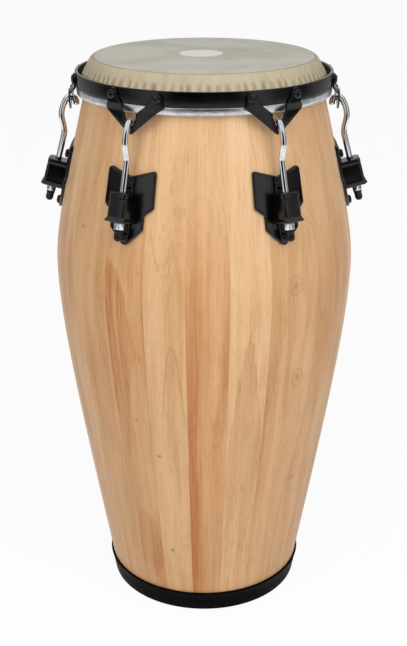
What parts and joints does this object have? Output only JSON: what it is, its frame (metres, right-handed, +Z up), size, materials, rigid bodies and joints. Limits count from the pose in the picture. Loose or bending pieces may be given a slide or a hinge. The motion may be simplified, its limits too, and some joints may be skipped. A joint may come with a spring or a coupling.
{
  "type": "conga drum",
  "caption": "Barrel-shaped stave drum with a tucked skin head, black tension rim, V-yokes, hooked rods, wall brackets and a rubber foot ring.",
  "frame": {"origin": "centre of the foot ring's underside, on the floor", "axes": "+Z up along the drum's axis; +X to the player's right; one bracket stands on +X and one on -X; the pictured front faces -Y"},
  "size_m": [0.4358, 0.4016, 0.762],
  "materials": {
    "shell_wood": "pale ash staves under satin lacquer",
    "foot_rubber": "matt black moulded rubber",
    "hide": "thick grey-cream rawhide, finely speckled",
    "black_band": "black satin powder coat",
    "silver_ring": "rolled bright channel",
    "black_fastener": "black satin",
    "chrome_rod": "polished chrome",
    "chrome_nut": "polished chrome",
    "cap_rubber": "matt black cap",
    "black_casting": "black satin coated casting"
  },
  "bodies": {
    "shell": {"shell": "shell_wood", "base_ring": "foot_rubber", "drum_head": "hide", "lug_bracket_1": "black_casting", "lug_bracket_2": "black_casting", "lug_bracket_3": "black_casting", "lug_bracket_4": "black_casting", "lug_bracket_5": "black_casting", "lug_bracket_6": "black_casting", "bracket_bolt_1_upper": "black_fastener", "bracket_bolt_1_lower": "black_fastener", "bracket_bolt_2_upper": "black_fastener", "bracket_bolt_2_lower": "black_fastener", "bracket_bolt_3_upper": "black_fastener", "bracket_bolt_3_lower": "black_fastener", "bracket_bolt_4_upper": "black_fastener", "bracket_bolt_4_lower": "black_fastener", "bracket_bolt_5_upper": "black_fastener", "bracket_bolt_5_lower": "black_fastener", "bracket_bolt_6_upper": "black_fastener", "bracket_bolt_6_lower": "black_fastener"},
    "rim": {"counter_hoop": "black_band", "flesh_hoop": "silver_ring", "hook_yoke_1": "black_band", "hook_yoke_2": "black_band", "hook_yoke_3": "black_band", "hook_yoke_4": "black_band", "hook_yoke_5": "black_band", "hook_yoke_6": "black_band", "yoke_rivet_1a": "black_fastener", "yoke_rivet_1b": "black_fastener", "yoke_rivet_2a": "black_fastener", "yoke_rivet_2b": "black_fastener", "yoke_rivet_3a": "black_fastener", "yoke_rivet_3b": "black_fastener", "yoke_rivet_4a": "black_fastener", "yoke_rivet_4b": "black_fastener", "yoke_rivet_5a": "black_fastener", "yoke_rivet_5b": "black_fastener", "yoke_rivet_6a": "black_fastener", "yoke_rivet_6b": "black_fastener"},
    "rod_1": {"tension_rod_1": "chrome_rod", "rod_cap_1": "cap_rubber"},
    "rod_2": {"tension_rod_2": "chrome_rod", "rod_cap_2": "cap_rubber"},
    "rod_3": {"tension_rod_3": "chrome_rod", "rod_cap_3": "cap_rubber"},
    "rod_4": {"tension_rod_4": "chrome_rod", "rod_cap_4": "cap_rubber"},
    "rod_5": {"tension_rod_5": "chrome_rod", "rod_cap_5": "cap_rubber"},
    "rod_6": {"tension_rod_6": "chrome_rod", "rod_cap_6": "cap_rubber"},
    "nut_1": {"tension_nut_1": "chrome_nut"},
    "nut_2": {"tension_nut_2": "chrome_nut"},
    "nut_3": {"tension_nut_3": "chrome_nut"},
    "nut_4": {"tension_nut_4": "chrome_nut"},
    "nut_5": {"tension_nut_5": "chrome_nut"},
    "nut_6": {"tension_nut_6": "chrome_nut"}
  },
  "joints": [
    {"name": "rim_slide", "type": "slide", "parent": "shell", "child": "rim", "axis": [0, 0, -1], "range_m": [0, 0.006], "deforming": ["drum_head"]},
    {"name": "rod_slide_1", "type": "slide", "parent": "shell", "child": "rod_1", "axis": [0.1336, -0.2314, -0.9636], "range_m": [0, 0.0063]},
    {"name": "rod_slide_2", "type": "slide", "parent": "shell", "child": "rod_2", "axis": [0.2672, 0, -0.9636], "range_m": [0, 0.0063]},
    {"name": "rod_slide_3", "type": "slide", "parent": "shell", "child": "rod_3", "axis": [0.1336, 0.2314, -0.9636], "range_m": [0, 0.0063]},
    {"name": "rod_slide_4", "type": "slide", "parent": "shell", "child": "rod_4", "axis": [-0.1336, 0.2314, -0.9636], "range_m": [0, 0.0063]},
    {"name": "rod_slide_5", "type": "slide", "parent": "shell", "child": "rod_5", "axis": [-0.2672, 0, -0.9636], "range_m": [0, 0.0063]},
    {"name": "rod_slide_6", "type": "slide", "parent": "shell", "child": "rod_6", "axis": [-0.1336, -0.2314, -0.9636], "range_m": [0, 0.0063]},
    {"name": "nut_turn_1", "type": "hinge", "parent": "shell", "child": "nut_1", "pos_m": [0.10259, -0.17769, 0.58522], "axis": [-0.1336, 0.2314, 0.9636], "range_deg": [0, 1800]},
    {"name": "nut_turn_2", "type": "hinge", "parent": "shell", "child": "nut_2", "pos_m": [0.20518, 0, 0.58522], "axis": [-0.2672, 0, 0.9636], "range_deg": [0, 1800]},
    {"name": "nut_turn_3", "type": "hinge", "parent": "shell", "child": "nut_3", "pos_m": [0.10259, 0.17769, 0.58522], "axis": [-0.1336, -0.2314, 0.9636], "range_deg": [0, 1800]},
    {"name": "nut_turn_4", "type": "hinge", "parent": "shell", "child": "nut_4", "pos_m": [-0.10259, 0.17769, 0.58522], "axis": [0.1336, -0.2314, 0.9636], "range_deg": [0, 1800]},
    {"name": "nut_turn_5", "type": "hinge", "parent": "shell", "child": "nut_5", "pos_m": [-0.20518, 0, 0.58522], "axis": [0.2672, 0, 0.9636], "range_deg": [0, 1800]},
    {"name": "nut_turn_6", "type": "hinge", "parent": "shell", "child": "nut_6", "pos_m": [-0.10259, -0.17769, 0.58522], "axis": [0.1336, 0.2314, 0.9636], "range_deg": [0, 1800]}
  ],
  "couplings": [
    {"joint": "rod_slide_1", "follows": "rim_slide", "ratio": 1.0377},
    {"joint": "rod_slide_2", "follows": "rim_slide", "ratio": 1.0377},
    {"joint": "rod_slide_3", "follows": "rim_slide", "ratio": 1.0377},
    {"joint": "rod_slide_4", "follows": "rim_slide", "ratio": 1.0377},
    {"joint": "rod_slide_5", "follows": "rim_slide", "ratio": 1.0377},
    {"joint": "rod_slide_6", "follows": "rim_slide", "ratio": 1.0377},
    {"joint": "nut_turn_1", "follows": "rim_slide", "rad_per_m": 5216.3},
    {"joint": "nut_turn_2", "follows": "rim_slide", "rad_per_m": 5216.3},
    {"joint": "nut_turn_3", "follows": "rim_slide", "rad_per_m": 5216.3},
    {"joint": "nut_turn_4", "follows": "rim_slide", "rad_per_m": 5216.3},
    {"joint": "nut_turn_5", "follows": "rim_slide", "rad_per_m": 5216.3},
    {"joint": "nut_turn_6", "follows": "rim_slide", "rad_per_m": 5216.3}
  ]
}
